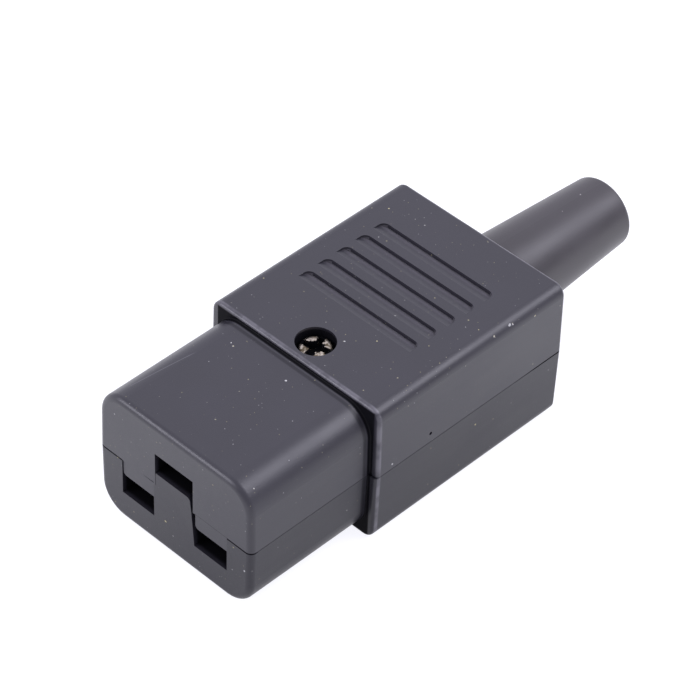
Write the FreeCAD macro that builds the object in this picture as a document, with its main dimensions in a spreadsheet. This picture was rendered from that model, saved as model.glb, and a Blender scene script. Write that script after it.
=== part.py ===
"""Rewirable 16 A mains connector with three flat-pin sockets, in two screwed half shells.

Frame: millimetres, +X out of the mating face, +Y to the neutral side, +Z up.
The origin is the middle of the mating face; the shells meet on the plane z = 0.
"""
import FreeCAD, Part
import math
import os

import Sketcher

# ---------------------------------------------------------------------------
# Driving dimensions: alias, value in millimetres, what it is.
# ---------------------------------------------------------------------------
DIMENSIONS = [
    # outside of the housing
    ("nose_width", 27.8, "nose, across"),
    ("nose_height", 20.8, "nose, over both shells"),
    ("nose_length", 21.0, "mating face to shoulder"),
    ("nose_round", 4.3, "radius of the nose's long edges"),
    ("face_edge", 0.9, "radius round the mating face"),
    ("body_width", 30.5, "grip body, across at the parting plane"),
    ("body_height", 22.3, "grip body, over both shells"),
    ("body_length", 35.0, "shoulder to rear wall"),
    ("body_round", 1.7, "radius of the body's long edges"),
    ("shoulder_edge", 0.45, "radius round the body's front rim"),
    ("rear_edge", 0.5, "radius round the body's rear rim"),
    ("root_fillet", 0.18, "fillet where the nose meets the shoulder"),
    ("side_draft", 0.2, "how far each side leans in over half the height"),
    ("shoulder_step", 0.3, "lower shell's shoulder stands this far ahead of the upper's"),
    ("wall", 2.0, "side walls, roof and floor"),
    ("face_wall", 2.5, "wall behind the mating face"),
    ("rear_wall", 2.5, "rear wall"),
    ("seam_bevel", 0.05, "bevel on each shell round the outer seam"),
    ("face_gap", 0.12, "open seam beside the slots, height"),
    ("face_gap_depth", 1.2, "open seam beside the slots, from the face inwards"),
    ("rear_gape", 0.14, "open seam at the rear wall, height"),
    ("gape_length", 7.5, "how far the seam gapes, from the rear wall forwards"),
    ("rib", 1.2, "thickness of the moulded ribs"),
    # pins that the sockets take
    ("pin_thick", 2.0, "every pin, thickness"),
    ("pin_pitch", 13.0, "line pin to neutral pin"),
    ("pin_rise", 8.0, "earth pin above the other two"),
    ("live_drop", 4.1, "line and neutral pins below the parting plane"),
    ("live_pin_width", 5.0, "line and neutral pin, width"),
    ("earth_pin_width", 6.0, "earth pin, width"),
    # slots in the mating face
    ("slot_play_wide", 0.9, "slot wider than its pin"),
    ("slot_play_high", 1.25, "line and neutral slot higher than the pin"),
    ("slot_shift", 0.15, "line and neutral slot, outwards from its pin"),
    ("earth_slot_play", 1.35, "earth slot higher than the pin"),
    ("earth_slot_drop", 0.1, "earth slot, below its pin"),
    ("tongue_gap", 0.08, "play at the sides of a face tongue"),
    ("centre_gap", 0.3, "open gap at the neutral side of the centre tongue"),
    ("tongue_setback", 0.12, "line and neutral tongues lie this far behind the face"),
    ("tongue_round", 0.6, "corner radius of the tongues"),
    ("tongue_lean", 0.2, "lean of the centre tongue's neutral side"),
    # contacts, folded from sheet
    ("sheet", 0.8, "brass sheet"),
    ("contact_play", 0.5, "free length between face wall and contact"),
    ("contact_length", 14.0, "length of the gripping part"),
    ("grip_back", 4.5, "mouth of the contact to its tightest point"),
    ("mouth_play", 0.5, "leaves at the mouth, wider than the pin"),
    ("grip_squeeze", 0.3, "leaves at their tightest point, closer than the pin"),
    ("back_play", 0.6, "leaves at the back, wider than the pin"),
    ("web_length", 5.5, "length of the side web that joins the leaves"),
    ("web_play", 0.05, "web to the side of the pin"),
    ("tail_width", 5.0, "strip behind the gripping part"),
    ("bend_radius", 0.6, "inside radius of the strip's bends"),
    ("seat_gap", 0.05, "play between a contact and the ribs beside it"),
    # terminals
    ("terminal_pad", 7.6, "side of the square terminal pad"),
    ("live_terminal_back", 7.0, "line and neutral terminal behind the shoulder"),
    ("terminal_side_gap", 0.45, "line and neutral pad to the side wall"),
    ("terminal_gap", 1.4, "earth pad behind the line and neutral pads"),
    ("collar_radius", 2.4, "drawn collar under the pad"),
    ("collar_height", 1.2, "depth of the drawn collar"),
    ("plate_side", 6.8, "wire clamp plate, side"),
    ("plate_thick", 1.0, "wire clamp plate, thickness"),
    ("plate_cup", 0.5, "how far the plate's two edges turn down"),
    ("terminal_screw_radius", 1.7, "terminal screw, shank"),
    ("terminal_head_radius", 3.0, "terminal screw, head"),
    ("terminal_head_height", 2.1, "terminal screw, head height"),
    ("terminal_tip", 0.5, "terminal screw, past the collar"),
    ("screw_play", 0.05, "radial play of a screw in its thread"),
    # housing screw and nut
    ("screw_back", 3.86, "housing screw behind the shoulder"),
    ("screw_radius", 1.45, "housing screw, shank"),
    ("screw_hole_radius", 1.65, "clearance hole through the bosses"),
    ("head_radius", 2.4, "housing screw, head"),
    ("head_height", 1.9, "housing screw, head height"),
    ("head_sink", 0.9, "head below the top face"),
    ("head_crown", 0.7, "rounding of the head's rim"),
    ("recess_width", 0.95, "arm of the cross recess, width"),
    ("recess_span", 3.7, "cross recess, over two arms"),
    ("recess_depth", 1.3, "cross recess, depth"),
    ("recess_web", 0.35, "cross recess, chamfer between two arms"),
    ("counterbore_play", 0.35, "counterbore round the head"),
    ("boss_wall", 1.55, "wall round the counterbore and the nut"),
    ("boss_floor", 1.6, "plastic under the head"),
    ("slim_boss_radius", 2.9, "boss between head and nut"),
    ("nut_flats", 5.5, "hexagon nut, across flats"),
    ("nut_thick", 2.4, "hexagon nut, thickness"),
    ("nut_sink", 1.0, "nut below the underside"),
    ("nut_play", 0.05, "play on each flat of the nut pocket"),
    ("tip_short", 0.4, "housing screw ends this far inside the nut's outer face"),
    ("eye_play", 0.3, "earth strip's eye round the boss"),
    ("eye_rim", 1.7, "width of the eye's rim"),
    # cord clamp
    ("clamp_gap", 1.5, "clamp posts ahead of the bulkhead"),
    ("clamp_width", 5.0, "clamp bar along the cord"),
    ("clamp_thick", 2.6, "clamp bar, thickness"),
    ("clamp_overhang", 2.8, "clamp bar past its screws"),
    ("clamp_arch", 1.3, "hollow under the clamp bar"),
    ("clamp_level", 1.0, "top of the clamp posts above the parting plane"),
    ("post_radius", 2.9, "clamp post"),
    ("clamp_screw_radius", 1.3, "clamp screw, shank"),
    ("clamp_head_radius", 2.6, "clamp screw, head"),
    ("clamp_head_height", 1.8, "clamp screw, head height"),
    ("clamp_screw_length", 9.0, "clamp screw, under the head"),
    # rubber boot
    ("cord_radius", 4.3, "bore for the cord"),
    ("boot_root_wall", 2.55, "rubber round the bore at the rear wall"),
    ("boot_end_wall", 1.05, "rubber round the bore at the boot's end"),
    ("boot_length", 25.7, "boot, outside the housing"),
    ("boot_end_round", 0.7, "rounding of the boot's end"),
    ("neck_wall", 1.7, "rubber round the bore in the rear opening"),
    ("flange_rim", 2.0, "flange held inside, past the neck"),
    ("flange_thick", 2.4, "flange, thickness"),
    ("neck_play", 0.1, "opening round the neck, and play of the flange"),
    ("bulkhead", 1.5, "rib in front of the flange"),
    # locating pegs and side tongue
    ("peg_radius", 0.9, "locating peg"),
    ("peg_length", 2.4, "locating peg"),
    ("peg_play", 0.1, "peg in its socket"),
    ("post_thick", 2.0, "locating post, radius"),
    ("post_root", 0.05, "how far a locating post runs into the side wall"),
    ("lip_height", 1.0, "side tongue below the parting plane"),
    ("lip_thick", 0.9, "side tongue"),
    ("lip_play", 0.1, "side tongue to the lower wall"),
    # grip grooves
    ("groove_back", 13.1, "first groove's deep edge behind the shoulder"),
    ("groove_pitch", 3.5, "groove to groove"),
    ("groove_span", 20.1, "groove, end to end"),
    ("groove_shift", 0.38, "grooves off the middle, to the line side"),
    ("groove_width", 2.0, "groove, front to back"),
    ("groove_depth", 0.6, "groove at its deep edge"),
    # gate mark on the neutral side
    ("gate_back", 9.8, "gate mark behind the shoulder"),
    ("gate_rise", 1.5, "gate mark above the parting plane"),
    ("gate_radius", 0.25, "gate mark"),
    ("gate_depth", 0.8, "gate mark, depth"),
]
GROOVE_COUNT = 5
CROSS_TURN = 17.0       # degrees, cross recess of the housing screw
MARGIN = 1.0            # how far a cutting solid runs past the face it breaks

doc = FreeCAD.newDocument("Connector")


# ---------------------------------------------------------------------------
# Sizes: each carries its value and the sheet formula that gives it.
# ---------------------------------------------------------------------------
class Size:
    """A length known both as a number and as a formula on the sheet."""

    def __init__(self, value, text):
        self.value = float(value)
        self.text = text

    def __add__(self, other):
        other = size(other)
        return Size(self.value + other.value, f"({self.text} + {other.text})")

    def __radd__(self, other):
        return size(other) + self

    def __sub__(self, other):
        other = size(other)
        return Size(self.value - other.value, f"({self.text} - {other.text})")

    def __rsub__(self, other):
        return size(other) - self

    def __mul__(self, other):
        other = size(other)
        return Size(self.value * other.value, f"({self.text} * {other.text})")

    __rmul__ = __mul__

    def __truediv__(self, other):
        other = size(other)
        return Size(self.value / other.value, f"({self.text} / {other.text})")

    def __neg__(self):
        return Size(-self.value, f"(-1 * {self.text})")


def size(number):
    """Return a Size, from a Size or a plain number."""
    if isinstance(number, Size):
        return number
    return Size(number, f"({float(number)!r})")


def least(first, second):
    """The smaller of two lengths."""
    return Size(min(first.value, second.value), f"min({first.text}; {second.text})")


def make_sheet():
    """Write the driving dimensions to the sheet and return them by name."""
    sheet = doc.addObject("Spreadsheet::Sheet", "Sizes")
    sizes = {}
    for row, (alias, value, meaning) in enumerate(DIMENSIONS, start=1):
        sheet.set(f"A{row}", meaning)
        sheet.set(f"B{row}", str(value))
        sheet.setAlias(f"B{row}", alias)
        sizes[alias] = Size(value, f"Sizes.{alias}")
    return sizes


class Sizes:
    """The driving dimensions as attributes."""

    def __init__(self, values):
        self.__dict__.update(values)


s = Sizes(make_sheet())

# ---------------------------------------------------------------------------
# Places worked out from the driving dimensions
# ---------------------------------------------------------------------------
shoulder_x = -s.nose_length
rear_x = shoulder_x - s.body_length
body_half = s.body_width / 2
nose_half = s.nose_width / 2
body_top = s.body_height / 2
nose_top = s.nose_height / 2
body_roof = body_top - s.wall
nose_roof = nose_top - s.wall
cavity_front = shoulder_x - s.wall
cavity_rear = rear_x + s.rear_wall
cavity_half = body_half - s.wall
nose_cavity_half = nose_half - s.wall

live_z = -s.live_drop
earth_z = s.pin_rise - s.live_drop
slot_y = s.pin_pitch / 2 + s.slot_shift
slot_half = (s.live_pin_width + s.slot_play_wide) / 2
slot_low = live_z - (s.pin_thick + s.slot_play_high) / 2
slot_high = live_z + (s.pin_thick + s.slot_play_high) / 2
earth_slot_low = earth_z - s.earth_slot_drop - (s.pin_thick + s.earth_slot_play) / 2
earth_slot_high = earth_z - s.earth_slot_drop + (s.pin_thick + s.earth_slot_play) / 2
earth_slot_half = (s.earth_pin_width + s.slot_play_wide) / 2

contact_front = -s.face_wall - s.contact_play
contact_rear = contact_front - s.contact_length
mouth_gap = s.pin_thick + s.mouth_play
grip_gap = s.pin_thick - s.grip_squeeze
back_gap = s.pin_thick + s.back_play
contact_half_height = back_gap / 2 + s.sheet
live_seat = live_z - contact_half_height
earth_seat = earth_z - contact_half_height

live_inner_y = s.pin_pitch / 2 - s.live_pin_width / 2
live_outer_y = s.pin_pitch / 2 + s.live_pin_width / 2 + s.web_play + s.sheet
earth_inner_y = -s.earth_pin_width / 2
earth_outer_y = s.earth_pin_width / 2 + s.web_play + s.sheet
terminal_top = live_seat + s.sheet

screw_x = shoulder_x - s.screw_back
head_seat = body_top - s.head_sink - s.head_height
nut_seat = -body_top + s.nut_sink + s.nut_thick
counterbore_radius = s.head_radius + s.counterbore_play
head_boss_radius = counterbore_radius + s.boss_wall
nut_boss_radius = s.nut_flats / math.sqrt(3) + s.boss_wall

live_terminal_x = shoulder_x - s.live_terminal_back
live_terminal_side = cavity_half - s.terminal_side_gap - s.terminal_pad / 2
earth_terminal_x = live_terminal_x - s.terminal_pad - s.terminal_gap

neck_radius = s.cord_radius + s.neck_wall
flange_radius = neck_radius + s.flange_rim
opening_radius = neck_radius + s.neck_play
flange_front = cavity_rear + s.flange_thick + s.neck_play * 2
bulkhead_front = flange_front + s.bulkhead
post_x = cavity_rear + s.flange_thick / 2
post_side = cavity_half - s.post_thick + s.post_root

clamp_x = bulkhead_front + s.clamp_gap + s.post_radius
clamp_side = cavity_half - s.lip_play - s.lip_thick - s.seat_gap - s.post_radius
clamp_seat = s.clamp_level
clamp_bar_top = clamp_seat + s.clamp_thick


# ---------------------------------------------------------------------------
# Drawing: outlines, circles, pads and pockets bound to the sheet
# ---------------------------------------------------------------------------
def rectangle(x0, x1, y0, y1):
    """Outline of an upright rectangle."""
    return [(x0, y0), (x1, y0), (x1, y1), (x0, y1)]


def circle(x, y, radius):
    """A circle, told apart from an outline by its name."""
    return ("circle", x, y, radius)


def hexagon(x, y, flats):
    """Outline of a hexagon with two corners on the x axis."""
    corner = flats / math.sqrt(3)
    return [
        (x + corner * math.cos(math.radians(60 * k)), y + corner * math.sin(math.radians(60 * k)))
        for k in range(6)
    ]


def ordered(first, second):
    """Two levels, the lower one first."""
    if size(first).value > size(second).value:
        return second, first
    return first, second


def bind(sketch, constraint, formula):
    """Add a dimension to a sketch and tie it to a formula."""
    index = sketch.addConstraint(constraint)
    sketch.setExpression(f"Constraints[{index}]", formula.text)


def draw_circle(sketch, x, y, radius):
    """Draw a circle and tie its centre and radius."""
    x, y, radius = size(x), size(y), size(radius)
    centre = FreeCAD.Vector(x.value, y.value, 0)
    index = sketch.addGeometry(Part.Circle(centre, FreeCAD.Vector(0, 0, 1), radius.value), False)
    bind(sketch, Sketcher.Constraint("DistanceX", -1, 1, index, 3, x.value), x)
    bind(sketch, Sketcher.Constraint("DistanceY", -1, 1, index, 3, y.value), y)
    bind(sketch, Sketcher.Constraint("Radius", index, radius.value), radius)


def arc_between(start, end, radius):
    """Short arc from start to end; a positive radius bulges to the right of the way."""
    chord = end - start
    reach = math.sqrt(max(radius * radius - (chord.Length / 2) ** 2, 0.0))
    normal = FreeCAD.Vector(-chord.y, chord.x, 0) / chord.Length
    side = 1 if radius > 0 else -1
    centre = start + chord / 2 + normal * reach * side
    middle = centre - normal * abs(radius) * side
    return Part.Arc(start, middle, end)


def draw_outline(sketch, corners):
    """Draw a closed outline; a corner with a third value starts an arc of that radius."""
    first = sketch.GeometryCount
    points = [(size(corner[0]), size(corner[1])) for corner in corners]
    vectors = [FreeCAD.Vector(x.value, y.value, 0) for x, y in points]
    count = len(corners)
    ends = []
    for k in range(count):
        start, end = vectors[k], vectors[(k + 1) % count]
        if len(corners[k]) == 2:
            sketch.addGeometry(Part.LineSegment(start, end), False)
            ends.append((1, 2))
        else:
            radius = size(corners[k][2]).value
            sketch.addGeometry(arc_between(start, end, radius), False)
            ends.append((1, 2) if radius > 0 else (2, 1))
    for k in range(count):
        after = (k + 1) % count
        sketch.addConstraint(
            Sketcher.Constraint("Coincident", first + k, ends[k][1], first + after, ends[after][0]))
    for k, (x, y) in enumerate(points):
        bind(sketch, Sketcher.Constraint("DistanceX", -1, 1, first + k, ends[k][0], x.value), x)
        bind(sketch, Sketcher.Constraint("DistanceY", -1, 1, first + k, ends[k][0], y.value), y)
        if len(corners[k]) == 3:
            radius = size(corners[k][2])
            if radius.value < 0:
                radius = -radius
            bind(sketch, Sketcher.Constraint("Radius", first + k, radius.value), radius)


def make_body(name):
    """Start a body; its label is the name of its file."""
    body = doc.addObject("PartDesign::Body", name)
    body.Label = name
    return body


def origin_feature(body, role):
    """One of the body's own planes or axes."""
    return next(item for item in body.Origin.OriginFeatures if item.Role == role)


def make_sketch(body, name, plane, level, loops):
    """Sketch on a body's own plane, moved along X, Y or Z to the given level."""
    sketch = body.newObject("Sketcher::SketchObject", f"{body.Name}_{name}_sketch")
    sketch.AttachmentSupport = [(origin_feature(body, f"{plane}_Plane"), "")]
    sketch.MapMode = "FlatFace"
    level = size(level)
    if plane == "XZ":
        level = -level
    sketch.setExpression("AttachmentOffset.Base.z", level.text)
    for loop in loops:
        if loop[0] == "circle":
            draw_circle(sketch, *loop[1:])
        else:
            draw_outline(sketch, loop)
    return sketch


def settle(body, before, name):
    """Recompute and make sure that the last feature changed the solid."""
    doc.recompute()
    shape = body.Tip.Shape
    if shape.isNull() or not shape.isValid():
        raise RuntimeError(f"{body.Name}: {name} gives no valid shape")
    if abs(shape.Volume - before) < 1e-6:
        raise RuntimeError(f"{body.Name}: {name} changes nothing")


def extrude(body, kind, name, plane, low, high, loops):
    """Pad or pocket between two levels along the normal of a plane."""
    before = body.Tip.Shape.Volume if body.Tip else 0.0
    low, high = size(low), size(high)
    start = high if plane == "XZ" else low
    sketch = make_sketch(body, name, plane, start, loops)
    feature = body.newObject(f"PartDesign::{kind}", f"{body.Name}_{name}")
    feature.Profile = sketch
    feature.setExpression("Length", (high - low).text)
    feature.Reversed = kind == "Pocket"
    settle(body, before, name)
    return feature


def add(body, name, plane, low, high, *loops):
    """Add material between two levels."""
    return extrude(body, "Pad", name, plane, low, high, loops)


def cut(body, name, plane, low, high, *loops):
    """Take material away between two levels."""
    return extrude(body, "Pocket", name, plane, low, high, loops)


def turn(body, name, corners, axis):
    """Solid of revolution of an outline in the XZ plane."""
    sketch = make_sketch(body, name, "XZ", 0, [corners])
    feature = body.newObject("PartDesign::Revolution", f"{body.Name}_{name}")
    feature.Profile = sketch
    feature.ReferenceAxis = (origin_feature(body, axis), [""])
    feature.Angle = 360
    settle(body, 0.0, name)
    return feature


def near(value, target, slack=0.02):
    """True where a coordinate is the wanted one."""
    return abs(value - size(target).value) < slack


def pick_edges(body, wanted):
    """Names of the tip's edges whose bounding box passes a test."""
    return [
        f"Edge{k}" for k, edge in enumerate(body.Tip.Shape.Edges, start=1) if wanted(edge.BoundBox)
    ]


def dress(body, kind, name, amount, wanted):
    """Fillet or chamfer the edges that pass a test."""
    before = body.Tip.Shape.Volume
    base = body.Tip
    names = pick_edges(body, wanted)
    if not names:
        raise RuntimeError(f"{body.Name}: {name} finds no edge")
    feature = body.newObject(f"PartDesign::{kind}", f"{body.Name}_{name}")
    feature.Base = (base, names)
    feature.setExpression("Radius" if kind == "Fillet" else "Size", size(amount).text)
    settle(body, before, name)


def flat_x(box, x):
    """The edge lies in the plane at this x."""
    return near(box.XMin, x) and near(box.XMax, x)


def runs_along_x(box):
    """The edge is long along X and short across."""
    return box.XLength > 5.0 and box.YLength < 0.05 and box.ZLength < 0.05


# ---------------------------------------------------------------------------
# Shells
# ---------------------------------------------------------------------------
def bevel_seam(body):
    """Small bevel round the outer seam; it follows the rim from the long side edges."""
    def side_edge(box):
        outer = near(abs(box.YMax), body_half) or near(abs(box.YMax), nose_half)
        return runs_along_x(box) and near(box.ZMin, 0) and outer

    dress(body, "Chamfer", "seam_bevel", s.seam_bevel, side_edge)


def shell_outside(body, side, shoulder):
    """Nose and grip body of one shell; side is +1 for the upper and -1 for the lower."""
    def section(half, top):
        return [(-half, 0), (half, 0), (half - s.side_draft, top * side), (-half + s.side_draft, top * side)]

    add(body, "grip", "YZ", rear_x, shoulder, section(body_half, body_top))
    add(body, "nose", "YZ", shoulder, 0, section(nose_half, nose_top))

    def long_edge(box, top, low_x):
        return runs_along_x(box) and near(box.ZMax, top * side) and near(box.XMin, low_x)

    dress(body, "Fillet", "body_round", s.body_round, lambda box: long_edge(box, body_top, rear_x))
    dress(body, "Fillet", "nose_round", s.nose_round, lambda box: long_edge(box, nose_top, shoulder))

    def rim(box, x, half):
        on_seam = near(box.ZMin, 0) and near(box.ZMax, 0)
        outer = max(abs(box.YMin), abs(box.YMax)) > size(half).value - 5.0
        return flat_x(box, x) and not on_seam and outer

    def reaches(box, top, half):
        """Outer rim edges lie on the top face, a side or the round between them."""
        high = max(abs(box.ZMin), abs(box.ZMax)) > size(top).value - 0.05
        wide = max(abs(box.YMin), abs(box.YMax)) > size(half - s.side_draft).value - 0.05
        return high or wide

    dress(body, "Fillet", "rear_edge", s.rear_edge,
          lambda box: rim(box, rear_x, 0) and reaches(box, body_top, body_half))
    dress(body, "Fillet", "shoulder_edge", s.shoulder_edge,
          lambda box: rim(box, shoulder, 0) and reaches(box, body_top, body_half))
    dress(body, "Fillet", "face_edge", s.face_edge,
          lambda box: rim(box, 0, 0) and reaches(box, nose_top, nose_half))
    dress(body, "Fillet", "root_fillet", s.root_fillet,
          lambda box: rim(box, shoulder, 0) and not reaches(box, body_top, body_half - s.shoulder_edge))
    bevel_seam(body)


def shell_inside(body, side):
    """Hollow of one shell, its rear opening and the bulkhead before the boot's flange."""
    cut(body, "body_cavity", "XY", *ordered(0, body_roof * side),
        rectangle(cavity_rear, cavity_front, -cavity_half, cavity_half))
    cut(body, "nose_cavity", "XY", *ordered(0, nose_roof * side),
        rectangle(cavity_front, -s.face_wall, -nose_cavity_half, nose_cavity_half))
    add(body, "bulkhead", "XY", *ordered(0, body_roof * side),
        rectangle(flange_front, bulkhead_front, -cavity_half, cavity_half))
    for name, way in (("line", -1), ("neutral", 1)):
        add(body, f"{name}_locating_post", "XY", *ordered(0, body_roof * side),
            circle(post_x, post_side * way, s.post_thick))
    cut(body, "cord_opening", "YZ", rear_x - MARGIN, bulkhead_front + MARGIN, circle(0, 0, opening_radius))


def make_upper_shell():
    """Upper shell: grip grooves, counterbored boss, face tongues and hold-down ribs."""
    body = make_body("upper_shell")
    shell_outside(body, 1, shoulder_x)
    shell_inside(body, 1)

    # notch for the earth slot, filled from below by the centre tongue
    cut(body, "earth_notch", "YZ", -s.face_wall - MARGIN, MARGIN,
        rectangle(-earth_slot_half, earth_slot_half, -MARGIN, earth_slot_high))
    # tongues that close the line and neutral notches down to their slots
    for name, way in (("line", -1), ("neutral", 1)):
        half = slot_half - s.tongue_gap
        middle = slot_y * way
        left, right = middle - half, middle + half
        add(body, f"{name}_tongue", "YZ", -s.face_wall, -s.tongue_setback,
            [(left + s.tongue_round, slot_high), (right, slot_high), (right, MARGIN), (left, MARGIN),
             (left, slot_high + s.tongue_round, s.tongue_round)])
    # housing screw boss
    add(body, "head_boss", "XY", head_seat - s.boss_floor, body_roof + MARGIN / 2,
        circle(screw_x, 0, head_boss_radius))
    add(body, "slim_boss", "XY", 0, head_seat - s.boss_floor / 2, circle(screw_x, 0, s.slim_boss_radius))
    cut(body, "counterbore", "XY", head_seat, body_top + MARGIN, circle(screw_x, 0, counterbore_radius))
    cut(body, "screw_hole", "XY", -MARGIN, head_seat + MARGIN, circle(screw_x, 0, s.screw_hole_radius))
    # ribs that hold the contacts down on their seats
    hold_front = contact_rear + s.web_length - s.rib
    for name, middle in (("line", -s.pin_pitch / 2), ("neutral", s.pin_pitch / 2)):
        add(body, f"{name}_hold_down", "XY", live_z + contact_half_height, nose_roof + MARGIN / 2,
            rectangle(contact_rear + s.rib, hold_front, middle - s.rib / 2, middle + s.rib / 2))
    add(body, "earth_hold_down", "XY", earth_z + contact_half_height, nose_roof + MARGIN / 2,
        rectangle(contact_rear + s.rib, hold_front, -s.rib / 2, s.rib / 2))
    # guides at both sides of the earth contact, between it and the other two
    for name, way, edge in (("line", -1, earth_inner_y), ("neutral", 1, earth_outer_y)):
        near_side = edge + s.seat_gap * way
        add(body, f"{name}_guide", "XY", earth_seat + s.sheet, nose_roof + MARGIN / 2,
            rectangle(contact_rear, -s.face_wall, *ordered(near_side, near_side + s.rib * way)))
    # locating pegs on the rear posts
    for name, way in (("line", -1), ("neutral", 1)):
        add(body, f"{name}_peg", "XY", -s.peg_length, MARGIN, circle(post_x, post_side * way, s.peg_radius))
    # side tongues that drop inside the lower shell
    for name, way in (("line", -1), ("neutral", 1)):
        inner = (cavity_half - s.lip_play - s.lip_thick) * way
        outer = (cavity_half - s.lip_play) * way
        wall = (cavity_half + MARGIN / 2) * way
        add(body, f"{name}_lip", "YZ", bulkhead_front, cavity_front,
            [(inner, -s.lip_height), (outer, -s.lip_height), (outer, 0), (wall, 0), (wall, MARGIN),
             (inner, MARGIN)])
    # the line tongue stands open above its inner end
    cut(body, "line_tongue_gap", "YZ", -s.tongue_setback * 4, MARGIN,
        [(-slot_y - slot_half, 0), (-slot_y + slot_half, 0), (-slot_y + slot_half, s.centre_gap)])
    cut(body, "gate_mark", "XZ", body_half - s.gate_depth, body_half + MARGIN,
        circle(shoulder_x - s.gate_back, s.gate_rise, s.gate_radius))
    make_grooves(body)
    return body


def make_grooves(body):
    """Grip grooves with round ends: deep at the rear edge, running out towards the nose."""
    before = body.Tip.Shape.Volume
    slope = math.degrees(math.atan2(s.groove_depth.value, s.groove_width.value))
    sketch = body.newObject("Sketcher::SketchObject", "groove_sketch")
    sketch.AttachmentSupport = [(origin_feature(body, "XY_Plane"), "")]
    sketch.MapMode = "FlatFace"
    deep_x = shoulder_x - s.groove_back
    sketch.AttachmentOffset = FreeCAD.Placement(
        FreeCAD.Vector(0, 0, 0), FreeCAD.Rotation(FreeCAD.Vector(0, 1, 0), -slope))
    sketch.setExpression("AttachmentOffset.Base.x", deep_x.text)
    sketch.setExpression("AttachmentOffset.Base.z", (body_top - s.groove_depth).text)
    sketch.setExpression("AttachmentOffset.Rotation.Angle", "-atan(Sizes.groove_depth / Sizes.groove_width)")
    low = -s.groove_span / 2 - s.groove_shift
    high = s.groove_span / 2 - s.groove_shift
    end = s.groove_width / 2
    long_side = s.groove_width * 1.1
    draw_outline(sketch, [
        (0, low + end, end), (end, low), (long_side, low), (long_side, high), (end, high, end),
        (0, high - end)])
    doc.recompute()
    pocket = body.newObject("PartDesign::Pocket", "groove")
    pocket.Profile = sketch
    pocket.UseCustomVector = True
    pocket.Direction = FreeCAD.Vector(0, 0, 1)
    pocket.Reversed = False
    pocket.Length = 3.0
    settle(body, before, "groove")
    single = before - body.Tip.Shape.Volume
    pattern = body.newObject("PartDesign::LinearPattern", "grooves")
    pattern.Originals = [pocket]
    pattern.Direction = (origin_feature(body, "X_Axis"), [""])
    pattern.Reversed = True
    pattern.Occurrences = GROOVE_COUNT
    pattern.setExpression("Length", (s.groove_pitch * (GROOVE_COUNT - 1)).text)
    body.Tip = pattern
    settle(body, before - single, "grooves")


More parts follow.
